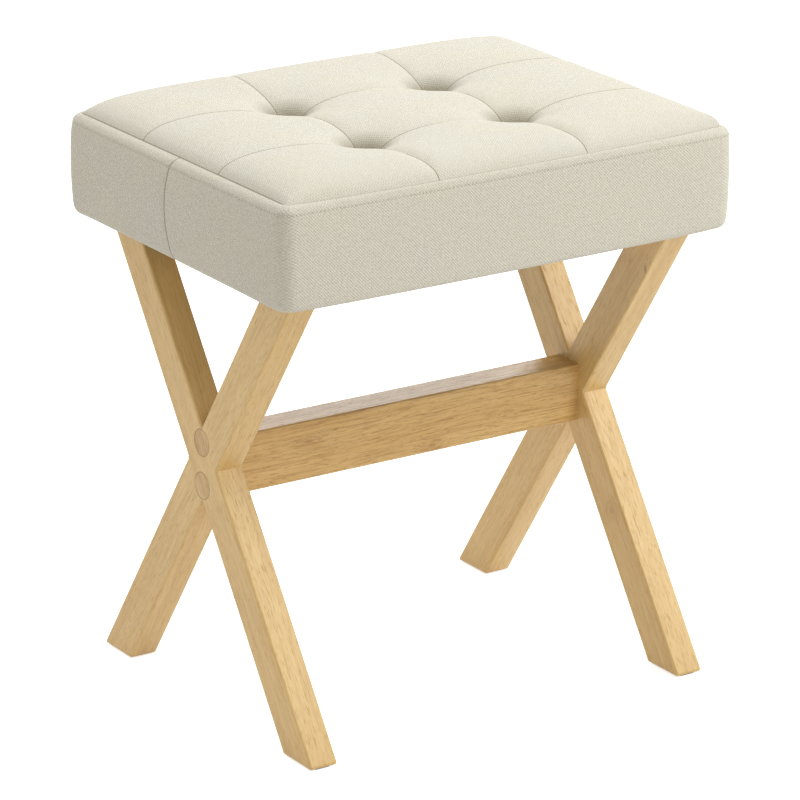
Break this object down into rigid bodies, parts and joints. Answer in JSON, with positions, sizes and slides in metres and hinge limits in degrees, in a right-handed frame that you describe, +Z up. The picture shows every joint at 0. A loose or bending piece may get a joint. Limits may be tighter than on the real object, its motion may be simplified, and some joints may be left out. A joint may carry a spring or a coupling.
{
  "type": "vanity stool",
  "caption": "Tufted box-cushion stool on two crossed-leg wooden frames joined by a stretcher, upholstered in woven fabric",
  "frame": {"origin": "On the floor, under the middle of the stool", "axes": "+Z up, +X along the stretcher and the long side of the seat, -Y towards the front"},
  "size_m": [0.402, 0.3114, 0.45],
  "materials": {
    "leg_wood": "clear satin lacquer on pale solid wood",
    "stretcher_wood": "clear satin lacquer on pale solid wood with marked grain",
    "plug_wood": "sanded flush and lacquered",
    "screw_steel": "zinc plated",
    "bolt_steel": "zinc plated",
    "pad_felt": "pressed felt",
    "plywood": "bare plywood",
    "foam": "open-cell foam",
    "cover_fabric": "plain woven linen-look cloth",
    "dust_cloth": "non-woven cloth",
    "twine": "twisted polyester"
  },
  "bodies": {
    "root": {"leg_left_back_top": "leg_wood", "leg_left_front_top": "leg_wood", "leg_right_back_top": "leg_wood", "leg_right_front_top": "leg_wood", "stretcher": "stretcher_wood", "wood_plugs": "plug_wood", "stretcher_screws": "screw_steel", "stretcher_dowels": "plug_wood", "seat_rail_left": "leg_wood", "seat_rail_right": "leg_wood", "rail_screws": "screw_steel", "seat_bolts": "bolt_steel", "bolt_washers": "bolt_steel", "seat_nuts": "bolt_steel", "foot_pads": "pad_felt", "seat_board": "plywood", "foam_pad": "foam", "cover_band": "cover_fabric", "cover_panel_front_left": "cover_fabric", "cover_panel_front_middle": "cover_fabric", "cover_panel_front_right": "cover_fabric", "cover_panel_centre_left": "cover_fabric", "cover_panel_centre_middle": "cover_fabric", "cover_panel_centre_right": "cover_fabric", "cover_panel_back_left": "cover_fabric", "cover_panel_back_middle": "cover_fabric", "cover_panel_back_right": "cover_fabric", "dust_cover": "dust_cloth", "hem_staples": "bolt_steel", "dust_cover_staples": "bolt_steel", "tuft_twines": "twine", "tuft_washers": "bolt_steel"}
  },
  "joints": []
}
